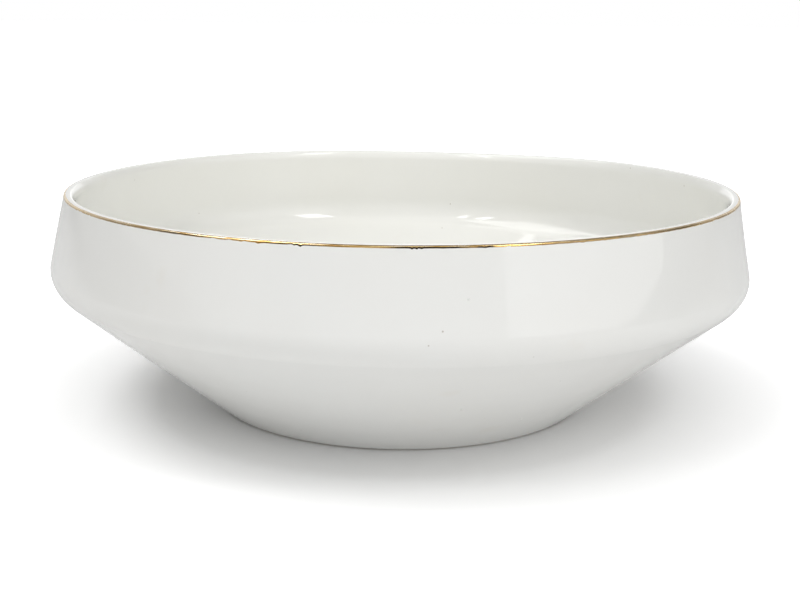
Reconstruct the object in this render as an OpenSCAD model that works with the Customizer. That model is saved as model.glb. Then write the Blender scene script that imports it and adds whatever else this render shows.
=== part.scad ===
// Porcelain serving bowl with an angled shoulder and a gilt line round the lip.
// One fired clay body carries three glaze coats and the gilding.
// The origin is at the centre of the face that the bowl stands on, and +Z is up.

/* [Overall size] */
// Outside diameter of the clay at the lip
rim_d = 238; // [232:1:242]
// Height of the clay lip above the table
rim_h = 77.5; // [72:0.5:88]
// Diameter where the two straight walls would meet if the shoulder were sharp
shoulder_d = 251.5; // [248:0.5:258]
// Height of that meeting line above the table
shoulder_h = 46.8; // [42:0.1:53]
// Diameter where the lower wall would meet the table if the foot edge were sharp
foot_d = 136.5; // [126:0.5:146]

/* [Wall] */
// Thickness of the upper and lower walls
wall_t = 3.7; // [3.2:0.1:5]
// Thickness of the floor above the well under it
floor_t = 5; // [4:0.1:8]

/* [Rounding] */
// Radius outside the shoulder
shoulder_r = 9.3; // [4:0.1:14]
// Radius of the cove inside the shoulder
cove_r = 12; // [6:0.5:18]
// Radius on the outer edge of the lip
lip_outer_r = 0.6; // [0.4:0.1:0.7]
// Radius on the inner edge of the lip
lip_inner_r = 1.7; // [0.8:0.1:1.7]
// Radius round the outer edge of the foot
foot_edge_r = 3; // [2:0.5:6]
// Radius of the cove round the floor inside
floor_cove_r = 22; // [8:1:30]

/* [Foot] */
// Width of the ring that the bowl stands on, before its edges are rounded
foot_ring_w = 7; // [6:0.5:10]
// Depth of the well under the floor
well_depth = 3; // [2:0.5:4]
// How much narrower the well is at its top than at its mouth, on each side
well_slant = 2.5; // [1:0.5:4]
// Radius where the side of the well meets its top
well_top_r = 2; // [1:0.5:2.5]
// Radius on the inner edge of the foot ring
well_mouth_r = 0.8; // [0.5:0.1:1]

/* [Glaze] */
// Thickness of the fired glaze
glaze_t = 0.3; // [0.2:0.05:0.45]
// Height of the bare clay between the table and the edge of the glaze
bare_h = 0.6; // [0.4:0.1:1]

/* [Gilding] */
// Thickness of the gilding over the glaze
gilt_t = 0.12; // [0.1:0.01:0.2]
// How far the gilding runs past the rounded outer edge of the lip, on each side
gilt_overrun = 0.1; // [0.05:0.05:0.3]

/* [Hidden] */
$fn = 180;
// Largest angle between two points on a round corner
arc_step = 6;

// Profiles are lists of corners, [radius from the axis, height, rounding].
// They travel with the clay on their left: out under the floor, up the outside,
// over the lip, down the inside and back to the axis along the floor.

function point(corner) = [corner[0], corner[1]];

function direction(a, b) =
    let (step = point(b) - point(a))
    step / norm(step);

function left_of(travel) = [-travel[1], travel[0]];

function turned(v, angle) = [
    v[0] * cos(angle) - v[1] * sin(angle),
    v[0] * sin(angle) + v[1] * cos(angle)
];

// Angle from one direction of travel to the next, positive to the left
function bend(before, after) =
    atan2(before[0] * after[1] - before[1] * after[0], before * after);

// Distance from a sharp corner to the place where its rounding starts
function rounding_reach(a, b, c) =
    b[2] * tan(abs(bend(direction(a, b), direction(b, c))) / 2);

// Points of the arc that rounds corner b, between its neighbours a and c
function rounded_corner(a, b, c) =
    let (
        travel = direction(a, b),
        angle = bend(travel, direction(b, c)),
        start = point(b) - travel * rounding_reach(a, b, c),
        centre = start + sign(angle) * b[2] * left_of(travel),
        steps = ceil(abs(angle) / arc_step)
    )
    [for (i = [0:steps]) centre + turned(start - centre, angle * i / steps)];

// Every point of a profile, with its inner corners rounded
function outline(corners) =
    let (last = len(corners) - 1)
    concat(
        [point(corners[0])],
        [for (i = [1:last - 1]) each rounded_corner(corners[i - 1], corners[i], corners[i + 1])],
        [point(corners[last])]
    );

// The same profile moved by t to the right of its travel, which is out of the clay
function shifted(corners, t) =
    let (last = len(corners) - 1)
    [for (i = [0:last])
        let (
            before = direction(corners[max(i - 1, 0)], corners[max(i, 1)]),
            after = direction(corners[min(i, last - 1)], corners[min(i + 1, last)]),
            move = -t * (left_of(before) + left_of(after)) / (1 + before * after)
        )
        [corners[i][0] + move[0], corners[i][1] + move[1], corners[i][2] + sign(bend(before, after)) * t]
    ];

function backwards(points) = [for (i = [len(points) - 1:-1:0]) points[i]];

// The closed section of a coat of thickness t that lies on a profile
function coat_section(corners, t) = concat(outline(corners), backwards(outline(shifted(corners, t))));

// The point at height z on the straight line through a and b
function at_height(a, b, z) = point(a) + (point(b) - point(a)) * (z - a[1]) / (b[1] - a[1]);

// Sharp corners of the outside
foot_corner = [foot_d / 2, 0, foot_edge_r];
shoulder_corner = [shoulder_d / 2, shoulder_h, shoulder_r];
lip_corner = [rim_d / 2, rim_h, lip_outer_r];

// The inside follows the outside at the thickness of the wall
inner_wall = shifted([foot_corner, shoulder_corner, lip_corner], -wall_t);
floor_h = well_depth + floor_t;
floor_corner = concat(at_height(inner_wall[0], inner_wall[1], floor_h), floor_cove_r);
cove_corner = concat(point(inner_wall[1]), cove_r);
lip_inner_corner = concat(at_height(inner_wall[1], inner_wall[2], rim_h), lip_inner_r);

// The two coats meet halfway along the flat on top of the lip
lip_flat_outer = lip_corner[0] - rounding_reach(shoulder_corner, lip_corner, lip_inner_corner);
lip_flat_inner = lip_inner_corner[0] + rounding_reach(lip_corner, lip_inner_corner, cove_corner);
lip_seam = [(lip_flat_outer + lip_flat_inner) / 2, rim_h, 0];

// The bare face of the foot ring, and the well inside it
foot_inner_d = foot_d - 2 * foot_ring_w;
well_mouth_corner = [foot_inner_d / 2, 0, well_mouth_r];
well_top_corner = [foot_inner_d / 2 - well_slant, well_depth, well_top_r];
foot_middle = [(foot_d + foot_inner_d) / 4, 0, 0];

underside = [[0, well_depth, 0], well_top_corner, well_mouth_corner, foot_middle];
outside = [foot_middle, foot_corner, shoulder_corner, lip_corner, lip_seam];
inside = [lip_seam, lip_inner_corner, cove_corner, floor_corner, [0, floor_h, 0]];

// The gilding covers the rounded outer edge of the glaze on the lip
glazed_outside = shifted(outside, glaze_t);
glazed_lip = glazed_outside[3];
gilt_reach = rounding_reach(glazed_outside[2], glazed_lip, glazed_outside[4]) + gilt_overrun;
gilt_bottom = point(glazed_lip) - direction(glazed_outside[2], glazed_lip) * gilt_reach;
gilt_top = point(glazed_lip) - [gilt_reach, 0];
gilt_path = [concat(gilt_bottom, 0), glazed_lip, concat(gilt_top, 0)];

// Leaves out whatever of a section lies below the edge of the glaze
module above_bare_foot() {
    difference() {
        children();
        translate([0, -glaze_t - 1]) square([foot_d, glaze_t + 1 + bare_h]);
    }
}

module porcelain_body() {
    color("#e6dfd0")
    rotate_extrude() polygon(concat(outline(underside), outline(outside), outline(inside)));
}

module inner_glaze() {
    color("#efeee6")
    rotate_extrude() polygon(coat_section(inside, glaze_t));
}

module outer_glaze() {
    color("#f2f1ed")
    rotate_extrude() above_bare_foot() polygon(coat_section(outside, glaze_t));
}

module foot_well_glaze() {
    color("#eceae2")
    rotate_extrude() above_bare_foot() polygon(coat_section(underside, glaze_t));
}

module gilt_rim_line() {
    color("#c9a263")
    rotate_extrude() polygon(coat_section(gilt_path, gilt_t));
}

porcelain_body();
inner_glaze();
outer_glaze();
foot_well_glaze();
gilt_rim_line();
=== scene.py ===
import bisect
import math
import random

import bmesh
import bpy
from mathutils import Matrix, Vector, noise


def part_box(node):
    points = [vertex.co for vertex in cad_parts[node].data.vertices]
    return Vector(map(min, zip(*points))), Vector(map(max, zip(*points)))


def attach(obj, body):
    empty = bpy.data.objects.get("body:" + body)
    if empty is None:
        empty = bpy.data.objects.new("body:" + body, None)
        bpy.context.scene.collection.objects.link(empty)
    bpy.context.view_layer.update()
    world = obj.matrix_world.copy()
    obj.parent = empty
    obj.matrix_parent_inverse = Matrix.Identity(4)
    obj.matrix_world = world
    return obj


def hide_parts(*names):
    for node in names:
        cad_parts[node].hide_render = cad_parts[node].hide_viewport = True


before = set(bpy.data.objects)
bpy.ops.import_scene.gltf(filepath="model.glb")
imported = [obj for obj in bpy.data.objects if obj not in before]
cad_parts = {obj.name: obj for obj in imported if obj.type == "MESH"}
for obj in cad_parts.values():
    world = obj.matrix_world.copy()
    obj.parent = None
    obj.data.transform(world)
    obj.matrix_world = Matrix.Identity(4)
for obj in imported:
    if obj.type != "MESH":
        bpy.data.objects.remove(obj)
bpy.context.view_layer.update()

# A porcelain serving bowl: one clay body, its three coats of glaze and the gilt line on its
# lip, each a closed mesh that replaces its CAD solid, and the studio round it.

# The bowl's design, in metres, as the CAD has it
coat_low, coat_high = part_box("outer_glaze")
RIM_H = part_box("porcelain_body")[1][2]
GLAZE_T = coat_high[2] - RIM_H
GILT_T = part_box("gilt_rim_line")[1][2] - coat_high[2]
BARE_H = coat_low[2]
FLOOR_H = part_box("inner_glaze")[0][2]
WELL_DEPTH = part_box("foot_well_glaze")[1][2]
RIM_R = 0.119
SHOULDER_R = 0.12575
SHOULDER_H = 0.0468
FOOT_R = 0.06825
WALL_T = 0.0037
SHOULDER_ROUND = 0.0093
COVE_ROUND = 0.012
LIP_OUTER_ROUND = 0.0006
LIP_INNER_ROUND = 0.0017
FOOT_ROUND = 0.003
FLOOR_ROUND = 0.022
FOOT_RING_W = 0.007
WELL_SLANT = 0.0025
WELL_TOP_ROUND = 0.002
WELL_MOUTH_ROUND = 0.0008
GILT_OVERRUN = 0.0001
# The soft slope inside the lip, which the CAD has as a plain round
TAPER_H = 0.0019
TAPER_SLOPE = math.radians(35)
TAPER_LOW_ROUND = 0.0038
TAPER_TOP_ROUND = 0.0007

# How finely the pieces are cut
SEGMENTS = 420
GILT_SEGMENTS = 1680
FINE_ARC = math.radians(3)
COARSE_ARC = math.radians(9)
FINE_STEP = 0.0024
# A point nearer the axis than this is on it
ON_AXIS = 1e-7


# ---------------------------------------------------------------- outlines
# A profile is a list of corners, (radius from the axis, height, rounding).
# It travels with the clay on its left, as in the CAD.

def point(corner):
    return Vector(corner[:2])


def direction(a, b):
    return (point(b) - point(a)).normalized()


def left_of(travel):
    return Vector((-travel.y, travel.x))


def bend(before, after):
    """Angle from one direction of travel to the next, positive to the left."""
    return math.atan2(before.x * after.y - before.y * after.x, before.dot(after))


def rounding_reach(a, b, c):
    """Distance from sharp corner b to the place where its rounding starts."""
    return b[2] * math.tan(abs(bend(direction(a, b), direction(b, c))) / 2)


def rounded_corner(a, b, c, arc):
    travel = direction(a, b)
    angle = bend(travel, direction(b, c))
    start = point(b) - travel * rounding_reach(a, b, c)
    centre = start + left_of(travel) * math.copysign(b[2], angle)
    steps = max(1, math.ceil(abs(angle) / arc))
    out = []
    for i in range(steps + 1):
        turn = angle * i / steps
        arm = start - centre
        out.append(centre + Vector((arm.x * math.cos(turn) - arm.y * math.sin(turn),
                                    arm.x * math.sin(turn) + arm.y * math.cos(turn))))
    return out


def outline(corners, arc, step=None):
    """Every point of a profile, its corners rounded and its straight runs cut to step."""
    out = [point(corners[0])]
    for a, b, c in zip(corners, corners[1:], corners[2:]):
        out += rounded_corner(a, b, c, arc)
    out.append(point(corners[-1]))
    if step is None:
        return out
    cut = [out[0]]
    for a, b in zip(out, out[1:]):
        pieces = max(1, math.ceil((b - a).length / step))
        cut += [a.lerp(b, k / pieces) for k in range(1, pieces + 1)]
    return cut


def shifted(corners, t):
    """The same profile moved by t to the right of its travel, which is out of the clay."""
    last = len(corners) - 1
    out = []
    for i, corner in enumerate(corners):
        before = direction(corners[max(i - 1, 0)], corners[max(i, 1)])
        after = direction(corners[min(i, last - 1)], corners[min(i + 1, last)])
        move = (left_of(before) + left_of(after)) * (-t / (1 + before.dot(after)))
        turn = bend(before, after)
        grow = math.copysign(t, turn) if abs(turn) > 1e-9 else 0
        out.append((corner[0] + move.x, corner[1] + move.y, corner[2] + grow))
    return out


def at_height(a, b, z):
    """The point at height z on the straight line through a and b."""
    return point(a) + (point(b) - point(a)) * ((z - a[1]) / (b[1] - a[1]))


class Path:
    """A line of points that can be read at any distance along it."""

    def __init__(self, points):
        self.points = points
        self.reached = [0]
        for a, b in zip(points, points[1:]):
            self.reached.append(self.reached[-1] + (b - a).length)
        self.length = self.reached[-1]

    def at(self, distance):
        """The point there, and the direction to the right of travel."""
        i = min(max(bisect.bisect_right(self.reached, distance) - 1, 0), len(self.points) - 2)
        a, b = self.points[i], self.points[i + 1]
        travel = (b - a).normalized()
        return a + travel * (distance - self.reached[i]), -left_of(travel)


foot_corner = (FOOT_R, 0, FOOT_ROUND)
shoulder_corner = (SHOULDER_R, SHOULDER_H, SHOULDER_ROUND)
lip_corner = (RIM_R, RIM_H, LIP_OUTER_ROUND)
inner_wall = shifted([foot_corner, shoulder_corner, lip_corner], -WALL_T)
floor_corner = (*at_height(inner_wall[0], inner_wall[1], FLOOR_H), FLOOR_ROUND)
cove_corner = (*inner_wall[1][:2], COVE_ROUND)
lip_inner_corner = (*at_height(inner_wall[1], inner_wall[2], RIM_H), LIP_INNER_ROUND)
lip_flat_outer = lip_corner[0] - rounding_reach(shoulder_corner, lip_corner, lip_inner_corner)
lip_flat_inner = lip_inner_corner[0] + rounding_reach(lip_corner, lip_inner_corner, cove_corner)
lip_seam = ((lip_flat_outer + lip_flat_inner) / 2, RIM_H, 0)
# The lip's inner edge is worn to a long soft slope and a shorter round above it
taper_low = (*at_height(inner_wall[1], inner_wall[2], RIM_H - TAPER_H), TAPER_LOW_ROUND)
taper_top = (taper_low[0] + TAPER_H * math.tan(TAPER_SLOPE), RIM_H, TAPER_TOP_ROUND)
foot_inner = FOOT_R - FOOT_RING_W
foot_middle = ((FOOT_R + foot_inner) / 2, 0, 0)

UNDERSIDE = [(0, WELL_DEPTH, 0), (foot_inner - WELL_SLANT, WELL_DEPTH, WELL_TOP_ROUND),
             (foot_inner, 0, WELL_MOUTH_ROUND), foot_middle]
OUTSIDE = [foot_middle, foot_corner, shoulder_corner, lip_corner, lip_seam]
INSIDE = [lip_seam, taper_top, taper_low, cove_corner, floor_corner, (0, FLOOR_H, 0)]


# ------------------------------------------------------------ kiln and glaze
# Small departures from a perfect turning. The shoulder tilts, but the rim never moves up, and
# only the lip, which is narrower than the shoulder, moves out: the pieces stay inside the
# CAD's box.
# Angles round the bowl count from +X, and the camera stands at -90 degrees.
OVAL = 0.0002
OVAL_TURN = math.radians(35)
FRONT_DIP = 0.0006
FRONT_DIP_AT = math.radians(-120)
FRONT_DIP_POWER = 2
BACK_DIP = 0.00125
BACK_DIP_AT = math.radians(80)
BACK_DIP_POWER = 14
LIP_SPREAD = 0.0003
LIP_LEAN = 0.0004
LIP_LEAN_AT = math.radians(-15)
# The share of the height from which the lip's dips, spread and lean grow
LIP_WARP_FROM = 0.58
SHOULDER_TILT = 0.001
SHOULDER_TILT_AT = math.radians(29)
# Brings height squared times what is left of it up to 1 at its highest
BELLY_SCALE = 6.75
# Waves and turning marks in the surface of the glaze
RIPPLE = 0.000014
RIPPLE_SCALE = 70
FINE_RIPPLE = 0.6
FINE_RIPPLE_SCALE = 160
RING_MARK = 0.000006
RING_PITCH = 0.0065
RING_STRAY = 2
RING_STRAY_SCALE = 25
# The edge of the glaze above the bare foot: its round end, how it wanders, and the bead above it
ROLL_L = 0.0004
ROLL_STEPS = 6
EDGE_WANDER = 0.00012
EDGE_SCALE = 3
FINE_EDGE = 0.5
FINE_EDGE_SCALE = 11
BEAD_T = 0.00005
BEAD_REACH = 0.003
# Grit under the glaze: where on the profile, how wide, how narrow the other way and how high
# for its width, and how much of it on each side
GRIT_BAND = (0.12, 0.9)
GRIT_RADIUS = (0.00022, 0.00042)
GRIT_NARROW = (0.8, 1)
GRIT_HEIGHT = 0.5
INSIDE_GRIT = 8
OUTSIDE_GRIT = 14
# Faces that meet at more than this angle keep a crisp edge
SHARP = math.radians(40)
# The gilt line: how finely it is cut, how much of the CAD's thickness it has, how much less
# where the gold is thin, how deep it is set into the glaze, how far it sways, how ragged its
# two edges are, and its least width
GILT_ACROSS = 12
GILT_FILM = 0.4
GILT_THINNING = 0.5
GILT_SINK = 0.000012
GILT_SWAY = 0.00008
GILT_SWAY_SCALE = 2.3
GILT_RAGGED = 0.00006
LOW_RAGGED_SCALE = 60
HIGH_RAGGED_SCALE = 45
GILT_LEAST = 0.0003
# How far up the rounded edge it reaches, in front and at the back, and how much of the back's
# reach it has at the two sides and how fast the rest comes in
GILT_TOP = 0.00112
GILT_TOP_BACK = 0.0009
BACK_AT_SIDES = 0.3
BACK_COMES_IN = 2.5
# How thin the gold is at each side, from 0 to 1, and how much that varies
PALE_LEFT = 1.0
PALE_RIGHT = 0.75
PALE_VARIES = 0.25
PALE_SCALE = 9
# Gaps and drops in its lower edge: how many, how wide as an angle, and how deep, and where
# three more drops hang in front
GAPS = 26
GAP_WIDTH = (0.003, 0.012)
GAP_DEPTH = (0.0001, 0.0003)
DROPS = 34
DROP_WIDTH = (0.0025, 0.006)
DROP_DEPTH = (0.0001, 0.0003)
FRONT_DROPS = (math.radians(-88.7), math.radians(-88.1), math.radians(-87.5))
# How dark the painted reflection along the lower edge of the gilt line is, from 0 to 1, and how much that
# varies.
# It is darkest in a few stretches, given by their middles and half widths: how dark, and how steeply they
# end.
DARK_USUAL = 0.5
DARK_VARIES = 0.9
DARK_SCALE = 6
DARK_MOST = 1.4
DARK_EDGE = 1.5
DARK_STRETCHES = ((math.radians(-87), math.radians(4.8)), (math.radians(-79), math.radians(1.4)),
                  (math.radians(-57.5), math.radians(1.8)), (math.radians(-124), math.radians(2.2)))

# ---------------------------------------------------------- light and camera
# The floor glows white to the camera, from nothing under the bowl to the full glow beside it
FLOOR_R = 30
FLOOR_GLOW = 0.8
GLOW_NEAR = 0.09
GLOW_FAR = 0.2
# The sky is brighter in front and behind: its strengths, and the Y of the direction where each
# part starts. Y is -1 straight in front of the bowl and 1 straight behind it.
WORLD_BASE = 0.05
WORLD_FRONT = 0.8
FRONT_FROM = -0.22
WORLD_BACK = 0.55
BACK_FROM = 0.1
# The white sweep behind the bowl, brightest at its middle: its strengths, the Y between which
# each comes in, and the Z where it starts to fade and where it ends
SWEEP_SIDES = 0.85
SWEEP_SIDES_Y = (0.5, 0.9)
SWEEP_MIDDLE = 1.35
SWEEP_MIDDLE_Y = (0.94, 0.97)
SWEEP_FADE_Z = 0.4
SWEEP_TOP_Z = 0.6
# The camera stands at a distance and elevation from a point on the axis and looks at another
LENS = 53.08
SENSOR = 36
CAMERA_DISTANCE = 0.4412
CAMERA_ELEVATION = math.radians(12.68)
CAMERA_FROM_H = 0.0395
CAMERA_AIM_H = 0.0338
CAMERA_ROLL = math.radians(0.56)


def nearness(around, centre):
    """From 0 on the far side of the bowl to 1 at an angle round it."""
    return (1 + math.cos(around - centre)) / 2


def turned_away(around, centre):
    """The angle between two directions round the bowl, from -pi to pi."""
    return (around - centre + math.pi) % (2 * math.pi) - math.pi


def kiln_warp(x, y, z):
    """Where firing has moved a point: slightly oval, the shoulder a little lower on one side
    and higher on the other, the lip a little lower in front and at the back, wider and carried
    to one side, and the foot true."""
    around = math.atan2(y, x)
    radius = math.hypot(x, y)
    height = max(z, 0) / RIM_H
    narrow = OVAL * height * (1 - math.cos(2 * (around - OVAL_TURN))) / 2
    keep = 1 - narrow / RIM_R * min(1, radius / FOOT_R)
    dip = FRONT_DIP * nearness(around, FRONT_DIP_AT) ** FRONT_DIP_POWER
    dip += BACK_DIP * nearness(around, BACK_DIP_AT) ** BACK_DIP_POWER
    lip = max(0, (height - LIP_WARP_FROM) / (1 - LIP_WARP_FROM)) ** 2 * radius / RIM_R
    keep += LIP_SPREAD * lip / RIM_R
    belly = BELLY_SCALE * height ** 2 * max(0, 1 - height)
    tilt = SHOULDER_TILT * belly * radius / SHOULDER_R * math.cos(around - SHOULDER_TILT_AT)
    return (x * keep + LIP_LEAN * lip * math.cos(LIP_LEAN_AT),
            y * keep + LIP_LEAN * lip * math.sin(LIP_LEAN_AT), z - dip * lip - tilt)


def ripple_depth(x, y, z):
    """How far the glaze lies under its full thickness: soft waves and the marks of turning."""
    here = Vector((x, y, z))
    elsewhere = Vector((7, 1, 3))
    fine = FINE_RIPPLE * noise.noise(here * FINE_RIPPLE_SCALE + elsewhere)
    wave = noise.noise(here * RIPPLE_SCALE) + fine
    stray = RING_STRAY * noise.noise(here * RING_STRAY_SCALE)
    ring = math.sin(2 * math.pi * z / RING_PITCH + stray)
    return RIPPLE * (1 + FINE_RIPPLE + wave) + RING_MARK * (1 + ring)


def edge_wander(x, y, seed):
    """How far the edge of a coat strays there: about -1 to 1, slowly round the bowl."""
    around = math.atan2(y, x)
    spot = Vector((math.cos(around), math.sin(around), seed))
    return noise.noise(spot * EDGE_SCALE) + FINE_EDGE * noise.noise(spot * FINE_EDGE_SCALE)


class Spot:
    """One point of a coat's section: where it is, which way is out of the coat, whether the
    glaze ripples there, and how it slides when the edge of the glaze wanders."""

    def __init__(self, at, out=Vector((0, 0)), rippled=False, slide=Vector((0, 0))):
        self.at, self.out, self.rippled, self.slide = at, out, rippled, slide


def spots_along(points, rippled=False):
    spots = []
    for i, at in enumerate(points):
        travel = points[min(i + 1, len(points) - 1)] - points[max(i - 1, 0)]
        spots.append(Spot(at, -left_of(travel.normalized()), rippled))
    return spots


def lathe(name, section_at, segments):
    """A closed solid turned about the axis. section_at(angle) gives its section, the same
    number of points each time. A section may start and end on the axis."""
    angles = [2 * math.pi * k / segments for k in range(segments)]
    sections = [section_at(angle) for angle in angles]
    verts, rings = [], []
    for i, first in enumerate(sections[0]):
        if first.x < ON_AXIS:
            rings.append([len(verts)])
            verts.append((0, 0, first.y))
            continue
        rings.append(list(range(len(verts), len(verts) + segments)))
        for angle, section in zip(angles, sections):
            at = section[i]
            verts.append(kiln_warp(at.x * math.cos(angle), at.x * math.sin(angle), at.y))
    pairs = list(zip(rings, rings[1:])) + [(rings[-1], rings[0])]
    faces = []
    for low, high in pairs:
        for k in range(segments):
            n = (k + 1) % segments
            if len(low) > 1 and len(high) > 1:
                faces.append((low[k], low[n], high[n], high[k]))
            elif len(low) > 1:
                faces.append((low[k], low[n], high[0]))
            elif len(high) > 1:
                faces.append((low[0], high[n], high[k]))
    mesh = bpy.data.meshes.new(name)
    mesh.from_pydata(verts, [], faces)
    smooth(mesh)
    piece = bpy.data.objects.new(name, mesh)
    bpy.context.scene.collection.objects.link(piece)
    return piece


def smooth(mesh):
    mesh.shade_smooth()
    mesh.set_sharp_from_angle(angle=SHARP)


def above(points, z):
    """The part of a line above height z, cut exactly there."""
    out = []
    for a, b in zip(points, points[1:]):
        if (a.y < z) != (b.y < z):
            out.append(at_height(a, b, z))
        if b.y >= z:
            out.append(b)
    if points[0].y >= z:
        out.insert(0, points[0])
    return out


def rolled_edge(start, along, out):
    """The rounded end of a coat that stops at start on the clay, thickest just inside its edge."""
    spots = []
    for i in range(ROLL_STEPS + 1):
        turn = math.pi / 2 * i / ROLL_STEPS
        at = start + along * (ROLL_L * (1 - math.cos(turn))) + out * (GLAZE_T * math.sin(turn))
        facing = out * math.sin(turn) - along * math.cos(turn)
        spots.append(Spot(at, facing, i == ROLL_STEPS, along * EDGE_WANDER))
    return spots


def footed_coat(corners):
    """The section of a coat whose first point is its edge above the bare foot."""
    clay = above(outline(corners, COARSE_ARC), BARE_H)
    glaze = above(outline(shifted(corners, GLAZE_T), FINE_ARC, FINE_STEP), BARE_H)
    along = (clay[1] - clay[0]).normalized()
    roll = rolled_edge(clay[0], along, -left_of(along))
    first = next(i for i, at in enumerate(glaze) if (at - roll[-1].at).dot(along) > ROLL_L)
    visible = spots_along(glaze[first:], rippled=True)
    for spot in visible:
        fade = max(0, 1 - (spot.at - roll[-1].at).length / BEAD_REACH)
        spot.at = spot.at + spot.out * (BEAD_T * fade * (1 - fade) * 4)
    return roll + visible + spots_along(clay[1:][::-1])


def mirrored(corners):
    """The same profile travelled the other way, on the other side of the axis."""
    return [(-corner[0], corner[1], corner[2]) for corner in corners[::-1]]


def coat(name, section, seed):
    """Turns a coat's section, with ripples in its surface and a wandering edge."""
    def section_at(angle):
        wander = edge_wander(math.cos(angle), math.sin(angle), seed)
        out = []
        for spot in section:
            at = spot.at + spot.slide * wander
            if spot.rippled and at.x > ON_AXIS:
                depth = ripple_depth(at.x * math.cos(angle), at.x * math.sin(angle), at.y)
                at = at - spot.out * depth
            out.append(at)
        return out
    return lathe(name, section_at, SEGMENTS)


def make_body():
    line = outline(UNDERSIDE, COARSE_ARC)
    line += outline(OUTSIDE, COARSE_ARC)[1:]
    line += outline(INSIDE, COARSE_ARC)[1:]
    return lathe("bowl_body", lambda angle: line, SEGMENTS)


def make_inner_glaze():
    clay = outline(INSIDE, COARSE_ARC)
    glaze = outline(shifted(INSIDE, GLAZE_T), FINE_ARC, FINE_STEP)
    section = spots_along(glaze, rippled=True) + spots_along(clay[::-1])
    return coat("glaze_inside", section, 1)


def make_outer_glaze():
    return coat("glaze_outside", footed_coat(OUTSIDE), 2)


def make_well_glaze():
    section = footed_coat(mirrored(UNDERSIDE))
    for spot in section:
        spot.at = Vector((-spot.at.x, spot.at.y))
        spot.out = Vector((-spot.out.x, spot.out.y))
        spot.slide = Vector((-spot.slide.x, spot.slide.y))
    return coat("glaze_foot_well", section[::-1], 3)


def add_grit(piece, profile, count, seed):
    """Small domes where grit lies under the glaze, set into the surface of a glazed profile."""
    draw = random.Random(seed)
    path = Path(outline(shifted(profile, GLAZE_T), FINE_ARC))
    mesh = bmesh.new()
    mesh.from_mesh(piece.data)
    for _ in range(count):
        at, out = path.at(path.length * draw.uniform(*GRIT_BAND))
        around = draw.uniform(0, 2 * math.pi)
        radius = draw.uniform(*GRIT_RADIUS)
        turn = Matrix.Rotation(around, 4, "Z")
        centre = turn @ Vector((at.x, 0, at.y))
        normal = turn @ Vector((out.x, 0, out.y))
        centre -= normal * ripple_depth(*centre)
        facing = normal.to_track_quat("Z", "Y").to_matrix().to_4x4()
        size = Matrix.Diagonal((radius, radius * draw.uniform(*GRIT_NARROW), radius * GRIT_HEIGHT, 1))
        where = Matrix.Translation(kiln_warp(*centre)) @ facing @ size
        bmesh.ops.create_icosphere(mesh, subdivisions=2, radius=1, matrix=where)
    mesh.to_mesh(piece.data)
    mesh.free()
    smooth(piece.data)
    return piece


# ---------------------------------------------------------------- gilding
class Nicks:
    """Gaps and drops along the lower edge of a hand-painted line, at places drawn by lot."""

    def __init__(self, seed, gaps, drops):
        draw = random.Random(seed)
        self.marks = []
        for count, widths, depths, sign in ((gaps, GAP_WIDTH, GAP_DEPTH, 1),
                                            (drops, DROP_WIDTH, DROP_DEPTH, -1)):
            for _ in range(count):
                centre = draw.uniform(-math.pi, math.pi)
                self.marks.append((centre, draw.uniform(*widths), sign * draw.uniform(*depths)))
        self.marks += [(centre, DROP_WIDTH[0], -DROP_DEPTH[1]) for centre in FRONT_DROPS]

    def at(self, around):
        """How far the edge is drawn back there, in metres; negative where it hangs down."""
        total = 0
        for centre, width, depth in self.marks:
            off = turned_away(around, centre)
            if abs(off) < 3 * width:
                total += depth * math.exp(-(off / width) ** 2)
        return total


def gilt_band(around, nicks):
    """(start, end) of the line along the lip at an angle round the bowl, and how thin it is there.
    The line covers most of the rounded outer edge, a little less of it at the back."""
    here = Vector((math.cos(around), math.sin(around), 5))
    sway = GILT_SWAY * noise.noise(here * GILT_SWAY_SCALE)
    sway += GILT_RAGGED * noise.noise(here * LOW_RAGGED_SCALE)
    low = -GILT_OVERRUN + sway + nicks.at(around)
    back = min(1, max(0, BACK_AT_SIDES + BACK_COMES_IN * math.sin(around)))
    top = GILT_TOP + (GILT_TOP_BACK - GILT_TOP) * back
    high = top + sway + GILT_RAGGED * noise.noise(here * HIGH_RAGGED_SCALE)
    right = math.cos(around)
    pale = PALE_LEFT * max(0, -right) ** 2 + PALE_RIGHT * max(0, right) ** 2
    thin = min(1, max(0, PALE_VARIES * noise.noise(here * PALE_SCALE) + pale))
    return low, max(high, low + GILT_LEAST), thin


def painted_reflection_darkness(around):
    """How dark the painted reflection along the lower edge of the line is, from 0 to 1."""
    here = Vector((math.cos(around), math.sin(around), 8))
    depth = DARK_USUAL + DARK_VARIES * noise.noise(here * DARK_SCALE)
    for centre, half in DARK_STRETCHES:
        off = abs(turned_away(around, centre))
        depth += DARK_MOST * max(0, min(1, DARK_EDGE * (1 - off / half)))
    return min(1, max(0, depth))


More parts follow.
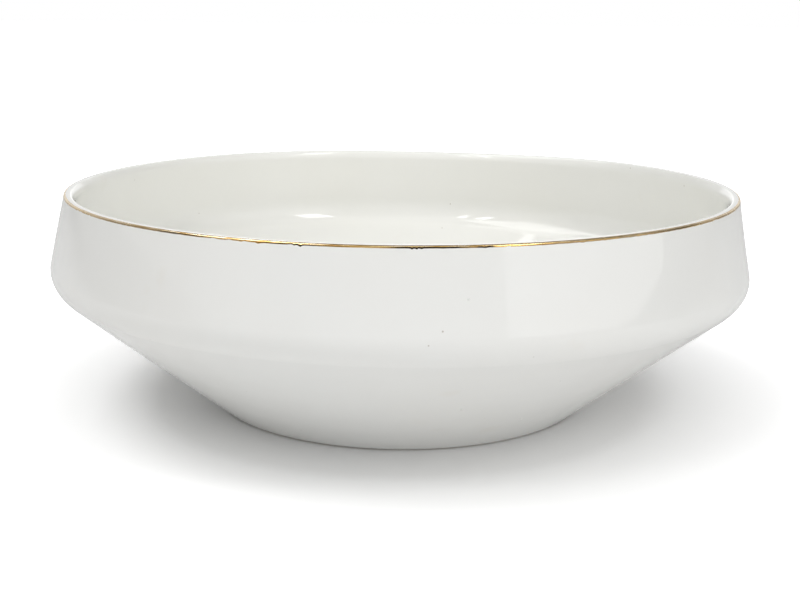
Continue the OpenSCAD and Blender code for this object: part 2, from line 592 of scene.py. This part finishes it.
def make_gilding():
    """The gold film, which follows the glaze and has its place across the line, its thinness
    and the darkness of the reflection painted on its lower edge as attributes."""
    lip = shifted([shoulder_corner, lip_corner, taper_top, taper_low, cove_corner], GLAZE_T)
    path = Path(outline(lip, FINE_ARC))
    round_start = path.reached[1]
    nicks = Nicks(11, GAPS, DROPS)
    thin, dark = [], []

    def section_at(angle):
        low, high, fade = gilt_band(angle, nicks)
        top, bottom = [], []
        for i in range(GILT_ACROSS + 1):
            share = i / GILT_ACROSS
            at, out = path.at(round_start + low + (high - low) * share)
            depth = ripple_depth(at.x * math.cos(angle), at.x * math.sin(angle), at.y)
            crown = GILT_T * GILT_FILM * (1 - GILT_THINNING * fade) * (1 - (2 * share - 1) ** 4)
            top.append(at + out * (crown - depth))
            bottom.append(at - out * (depth + GILT_SINK))
        thin.append(fade)
        dark.append(painted_reflection_darkness(angle))
        return top + bottom[::-1]

    piece = lathe("gilt_line", section_at, GILT_SEGMENTS)
    shares = [i / GILT_ACROSS for i in range(GILT_ACROSS + 1)]
    across = piece.data.attributes.new("across", "FLOAT", "POINT")
    across.data.foreach_set("value", [share for share in shares + shares[::-1] for _ in thin])
    for name, values in (("thin", thin), ("dark", dark)):
        attribute = piece.data.attributes.new(name, "FLOAT", "POINT")
        attribute.data.foreach_set("value", values * (2 * len(shares)))
    return piece


# -------------------------------------------------------------- materials
# Colours are linear, and a noise's scale is about its waves in a metre
# Each glaze has a cool tone, a warm one and a stain
# The inside and outside coats are one glaze. The inside's tones are painted lighter and creamier than the
# outside's, to stand in for the light that bounces round inside the bowl.
INSIDE_TONES_PAINTED_LIGHTER = ((0.93, 0.93, 0.895), (0.92, 0.918, 0.875), (0.87, 0.85, 0.77))
OUTSIDE_TONES = ((0.87, 0.873, 0.85), (0.865, 0.863, 0.835), (0.82, 0.79, 0.72))
SPECK = (0.33, 0.27, 0.2)
PINHOLE = (0.5, 0.48, 0.44)
GLAZE_IOR = 1.5
GLAZE_ROUGHNESS = (0.02, 0.045)
PEEL_DEPTH = 0.000004
CLAY_TONES = ((0.7, 0.66, 0.58), (0.6, 0.55, 0.46))
CLAY_GRAIN = (0.42, 0.36, 0.29)
CLAY_SPECK = (0.2, 0.15, 0.1)
CLAY_IOR = 1.45
CLAY_ROUGHNESS = (0.8, 0.95)
CLAY_DEPTH = 0.00004
GOLD_STRANDS = ((0.42, 0.22, 0.04), (0.88, 0.6, 0.22))
# A painted highlight: the lighter band along the middle of the gold line
GOLD_PAINTED_HIGHLIGHT = (1, 0.9, 0.7)
GOLD_TOP_EDGE = (0.42, 0.26, 0.1)
# A painted dark reflection along the lower edge of the gold line
GOLD_PAINTED_DARK_REFLECTION = (0.03, 0.016, 0.007)
GOLD_THIN = (0.84, 0.71, 0.5)
GOLD_ROUGHNESS = (0.16, 0.3)
GOLD_DEPTH = 0.00001
# How far the noise of the strands moves from the lower edge of the line to the upper one
STRAND = 0.03
PAPER_TONES = ((0.93, 0.93, 0.93), (0.95, 0.95, 0.95))
PAPER_DEPTH = 0.0001


def add(tree, kind, settings=None, **inputs):
    """A node with its settings, and each input given a value or linked to a socket."""
    node = tree.nodes.new("ShaderNode" + kind)
    for name, value in (settings or {}).items():
        setattr(node, name, value)
    for name, value in inputs.items():
        socket = node.inputs[name.replace("_", " ")]
        if isinstance(value, bpy.types.NodeSocket):
            tree.links.new(value, socket)
        else:
            socket.default_value = value
    return node


def blended(tree, factor, a, b):
    """A colour between a and b."""
    node = tree.nodes.new("ShaderNodeMix")
    node.data_type = "RGBA"
    for socket, value in ((node.inputs[0], factor), (node.inputs[6], a), (node.inputs[7], b)):
        if isinstance(value, bpy.types.NodeSocket):
            tree.links.new(value, socket)
        elif isinstance(value, tuple):
            socket.default_value = (*value, 1)
        else:
            socket.default_value = value
    return node.outputs[2]


def remapped(tree, value, low, high, to_low=0.0, to_high=1.0):
    """A value taken from one range to another, and held inside it."""
    node = add(tree, "MapRange", Value=value, From_Min=low, From_Max=high, To_Min=to_low, To_Max=to_high)
    return node.outputs[0]


def sum_of(tree, a, b, operation="ADD"):
    node = tree.nodes.new("ShaderNodeMath")
    node.operation = operation
    for socket, value in ((node.inputs[0], a), (node.inputs[1], b)):
        if isinstance(value, bpy.types.NodeSocket):
            tree.links.new(value, socket)
        else:
            socket.default_value = value
    return node.outputs[0]


def noise_of(tree, where, scale, detail=2.0):
    return add(tree, "TexNoise", Vector=where, Scale=scale, Detail=detail).outputs["Fac"]


def sparse_dots(tree, where, scale, size, share):
    """1 in a few small round dots, at most one to a cell of the given scale, and 0 between."""
    cells = add(tree, "TexVoronoi", Vector=where, Scale=scale)
    dot = remapped(tree, cells.outputs["Distance"], size, size * 0.5)
    red = add(tree, "SeparateColor", Color=cells.outputs["Color"]).outputs["Red"]
    chosen = remapped(tree, red, share, share * 0.98)
    return sum_of(tree, dot, chosen, "MULTIPLY")


def new_material(name):
    material = bpy.data.materials.new(name)
    material.use_nodes = True
    tree = material.node_tree
    tree.nodes.clear()
    where = add(tree, "TexCoord").outputs["Object"]
    return material, tree, where


def close_material(tree, shader):
    output = tree.nodes.new("ShaderNodeOutputMaterial")
    tree.links.new(shader.outputs[0], output.inputs["Surface"])


def glaze_material(name, cool, warm, stain):
    """Clear glossy glaze on white clay: faint cloudy tone, iron specks, pinholes and orange peel."""
    material, tree, where = new_material(name)
    cloud = remapped(tree, noise_of(tree, where, 16, 3), 0.35, 0.65)
    colour = blended(tree, cloud, cool, warm)
    patch = remapped(tree, noise_of(tree, where, 34, 4), 0.68, 0.8, 0, 0.6)
    colour = blended(tree, patch, colour, stain)
    speck = sparse_dots(tree, where, 260, 0.09, 0.035)
    colour = blended(tree, sum_of(tree, speck, 0.55, "MULTIPLY"), colour, SPECK)
    pinhole = sparse_dots(tree, where, 190, 0.07, 0.03)
    colour = blended(tree, sum_of(tree, pinhole, 0.35, "MULTIPLY"), colour, PINHOLE)
    rough = remapped(tree, noise_of(tree, where, 45, 3), 0.3, 0.7, *GLAZE_ROUGHNESS)
    rough = sum_of(tree, rough, sum_of(tree, pinhole, 0.2, "MULTIPLY"))
    broad_peel = sum_of(tree, noise_of(tree, where, 230, 2), 2.2, "MULTIPLY")
    peel = sum_of(tree, noise_of(tree, where, 800, 1), broad_peel)
    peel = sum_of(tree, peel, sum_of(tree, pinhole, 12, "MULTIPLY"), "SUBTRACT")
    peel = sum_of(tree, peel, sum_of(tree, speck, 5, "MULTIPLY"))
    bump = add(tree, "Bump", Height=peel, Strength=0.6, Distance=PEEL_DEPTH)
    shader = add(tree, "BsdfPrincipled", Base_Color=colour, Roughness=rough, IOR=GLAZE_IOR,
                 Normal=bump.outputs[0])
    close_material(tree, shader)
    return material


def biscuit_material():
    """Unglazed fired clay: matt, grainy, a little stained where it stands."""
    material, tree, where = new_material("biscuit_clay")
    grain = noise_of(tree, where, 2600, 3)
    cloud = remapped(tree, noise_of(tree, where, 40, 4), 0.3, 0.7)
    colour = blended(tree, cloud, *CLAY_TONES)
    colour = blended(tree, remapped(tree, grain, 0.55, 0.8, 0, 0.5), colour, CLAY_GRAIN)
    speck = sparse_dots(tree, where, 900, 0.2, 0.06)
    colour = blended(tree, sum_of(tree, speck, 0.7, "MULTIPLY"), colour, CLAY_SPECK)
    rough = remapped(tree, cloud, 0, 1, *CLAY_ROUGHNESS)
    bump = add(tree, "Bump", Height=grain, Strength=0.8, Distance=CLAY_DEPTH)
    shader = add(tree, "BsdfPrincipled", Base_Color=colour, Roughness=rough, IOR=CLAY_IOR,
                 Normal=bump.outputs[0])
    close_material(tree, shader)
    return material


def gold_material():
    """Fired bright gold: brush strands along the line, a painted highlight along its middle, a brown
    upper edge, a painted dark reflection along its lower edge where the gold is not thin, and paler where
    it is thin."""
    material, tree, where = new_material("fired_gold")
    across, thin, dark = (add(tree, "Attribute", {"attribute_name": name}).outputs["Fac"]
                          for name in ("across", "thin", "dark"))
    axes = add(tree, "SeparateXYZ", Vector=where).outputs
    along = add(tree, "CombineXYZ", X=axes["X"], Y=axes["Y"],
                Z=sum_of(tree, across, STRAND, "MULTIPLY")).outputs[0]
    strand = noise_of(tree, along, 85, 3)
    blotch = noise_of(tree, where, 180, 4)
    present = sum_of(tree, 1.0, thin, "SUBTRACT")
    colour = blended(tree, remapped(tree, strand, 0.38, 0.62), *GOLD_STRANDS)
    # A painted highlight along the middle of the line, patchy with the blotch noise
    painted_highlight = sum_of(tree, remapped(tree, across, 0.4, 0.5), remapped(tree, across, 0.76, 0.64), "MULTIPLY")
    painted_highlight = sum_of(tree, painted_highlight, remapped(tree, blotch, 0.35, 0.6, 0.1, 0.9), "MULTIPLY")
    colour = blended(tree, painted_highlight, colour, GOLD_PAINTED_HIGHLIGHT)
    top_edge = sum_of(tree, remapped(tree, across, 0.72, 0.85, 0, 0.6), present, "MULTIPLY")
    colour = blended(tree, top_edge, colour, GOLD_TOP_EDGE)
    # A painted dark reflection along the lower edge, left off where the gold is thin
    low_edge = sum_of(tree, remapped(tree, across, 0.44, 0.34), dark, "MULTIPLY")
    colour = blended(tree, sum_of(tree, low_edge, present, "MULTIPLY"), colour, GOLD_PAINTED_DARK_REFLECTION)
    colour = blended(tree, sum_of(tree, thin, 0.8, "MULTIPLY"), colour, GOLD_THIN)
    rough = remapped(tree, blotch, 0.3, 0.7, *GOLD_ROUGHNESS)
    metal = remapped(tree, thin, 0.1, 0.9, 1, 0.25)
    bump = add(tree, "Bump", Height=strand, Strength=0.5, Distance=GOLD_DEPTH)
    shader = add(tree, "BsdfPrincipled", Base_Color=colour, Roughness=rough, Metallic=metal,
                 Normal=bump.outputs[0])
    close_material(tree, shader)
    return material


def floor_material():
    """Plain white paper, with a glow that only the camera sees."""
    material, tree, where = new_material("studio_paper")
    tone = remapped(tree, noise_of(tree, where, 3, 3), 0.3, 0.7)
    colour = blended(tree, tone, *PAPER_TONES)
    bump = add(tree, "Bump", Height=noise_of(tree, where, 900, 2), Strength=0.1, Distance=PAPER_DEPTH)
    from_axis = add(tree, "VectorMath", {"operation": "LENGTH"}, Vector=where).outputs["Value"]
    seen = add(tree, "LightPath").outputs["Is Camera Ray"]
    glow = sum_of(tree, remapped(tree, from_axis, GLOW_NEAR, GLOW_FAR, 0, FLOOR_GLOW), seen, "MULTIPLY")
    shader = add(tree, "BsdfPrincipled", Base_Color=colour, Roughness=0.9, Normal=bump.outputs[0],
                 Emission_Color=(1, 1, 1, 1), Emission_Strength=glow)
    close_material(tree, shader)
    return material


# ------------------------------------------------------------------ stage
def make_floor():
    mesh = bpy.data.meshes.new("floor")
    sheet = bmesh.new()
    bmesh.ops.create_circle(sheet, cap_ends=True, radius=FLOOR_R, segments=96)
    sheet.to_mesh(mesh)
    sheet.free()
    floor = bpy.data.objects.new("floor", mesh)
    bpy.context.scene.collection.objects.link(floor)
    mesh.materials.append(floor_material())


def from_bowl(azimuth, elevation, distance):
    """A point seen from the bowl: azimuth is degrees from the camera to the picture's right,
    elevation up."""
    side, up = math.radians(azimuth), math.radians(elevation)
    level = distance * math.cos(up)
    return Vector((level * math.sin(side), -level * math.cos(side), distance * math.sin(up) + RIM_H))


def add_light(name, azimuth, elevation, distance, size, radiance):
    """A flat white rectangular light that faces the bowl."""
    lamp = bpy.data.lights.new(name, "AREA")
    lamp.shape = "RECTANGLE"
    lamp.size, lamp.size_y = size
    lamp.energy = radiance * math.pi * size[0] * size[1]
    light = bpy.data.objects.new(name, lamp)
    light.location = from_bowl(azimuth, elevation, distance)
    aim = Vector((0, 0, RIM_H)) - light.location
    light.rotation_euler = aim.to_track_quat("-Z", "Y").to_euler()
    bpy.context.scene.collection.objects.link(light)


def light_scene():
    """Soft studio lights, and the small bright ones that give the highlights inside the bowl."""
    add_light("overhead_softbox", 16, 72, 1.6, (2.0, 0.7), 0.95)
    add_light("left_softbox", -88, 60, 1.8, (1.2, 0.8), 3.1)
    add_light("low_left", -70, 25, 2.0, (2.2, 1.4), 0.28)
    add_light("low_right", 60, 22, 2.0, (2.2, 1.4), 0.95)
    add_light("window_right", 46, 48, 1.5, (0.25, 0.48), 8)
    add_light("lamp_left_a", -43, 48, 1.5, (0.09, 0.36), 10)
    add_light("lamp_left_b", -32, 48, 1.5, (0.06, 0.36), 9)


def make_sky():
    """A plain soft sky, white to the camera, and the sweep that shows in the glaze at glancing
    angles."""
    world = bpy.data.worlds.new("studio")
    bpy.context.scene.world = world
    world.use_nodes = True
    tree = world.node_tree
    tree.nodes.clear()
    where = add(tree, "TexCoord").outputs["Generated"]
    axes = add(tree, "SeparateXYZ", Vector=where).outputs
    front = remapped(tree, axes["Y"], FRONT_FROM, -1, 0, WORLD_FRONT)
    back = remapped(tree, axes["Y"], BACK_FROM, 1, 0, WORLD_BACK)
    light = sum_of(tree, sum_of(tree, front, back), WORLD_BASE)
    low = remapped(tree, axes["Z"], SWEEP_TOP_Z, SWEEP_FADE_Z)
    behind = sum_of(tree, remapped(tree, axes["Y"], *SWEEP_SIDES_Y, 0, SWEEP_SIDES),
                    remapped(tree, axes["Y"], *SWEEP_MIDDLE_Y, 0, SWEEP_MIDDLE), "MAXIMUM")
    rays = add(tree, "LightPath").outputs
    sweep = sum_of(tree, sum_of(tree, low, behind, "MULTIPLY"), rays["Is Glossy Ray"], "MULTIPLY")
    white = sum_of(tree, sweep, rays["Is Camera Ray"], "MAXIMUM")
    strength = sum_of(tree, light, white, "MAXIMUM")
    background = add(tree, "Background", Color=(1, 1, 1, 1), Strength=strength)
    output = tree.nodes.new("ShaderNodeOutputWorld")
    tree.links.new(background.outputs[0], output.inputs["Surface"])


def add_camera():
    lens = bpy.data.cameras.new("camera")
    lens.lens = LENS
    lens.sensor_width = SENSOR
    camera = bpy.data.objects.new("camera", lens)
    level = CAMERA_DISTANCE * math.cos(CAMERA_ELEVATION)
    rise = CAMERA_DISTANCE * math.sin(CAMERA_ELEVATION)
    camera.location = (0, -level, CAMERA_FROM_H + rise)
    look = Vector((0, 0, CAMERA_AIM_H)) - camera.location
    upright = look.to_track_quat("-Z", "Y").to_matrix().to_4x4()
    camera.rotation_euler = (upright @ Matrix.Rotation(CAMERA_ROLL, 4, "Z")).to_euler()
    bpy.context.scene.collection.objects.link(camera)
    bpy.context.scene.camera = camera
    bpy.context.scene.view_settings.view_transform = "Standard"


# -------------------------------------------------------------- the scene
def place(piece, node, material):
    """Gives a finished piece its material, and tells the frame what it is."""
    piece.data.materials.append(material)
    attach(piece, "root")
    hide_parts(node)


clay = biscuit_material()
# The inside glaze, painted lighter and creamier for the light that bounces round inside the bowl
inside_glaze_painted_lighter = glaze_material("glaze_inside", *INSIDE_TONES_PAINTED_LIGHTER)
outside_glaze = glaze_material("glaze_outside", *OUTSIDE_TONES)
place(make_body(), "porcelain_body", clay)
place(add_grit(make_inner_glaze(), INSIDE, INSIDE_GRIT, 21), "inner_glaze", inside_glaze_painted_lighter)
place(add_grit(make_outer_glaze(), OUTSIDE, OUTSIDE_GRIT, 22), "outer_glaze", outside_glaze)
place(make_well_glaze(), "foot_well_glaze", outside_glaze)
place(make_gilding(), "gilt_rim_line", gold_material())
make_floor()
light_scene()
make_sky()
add_camera()
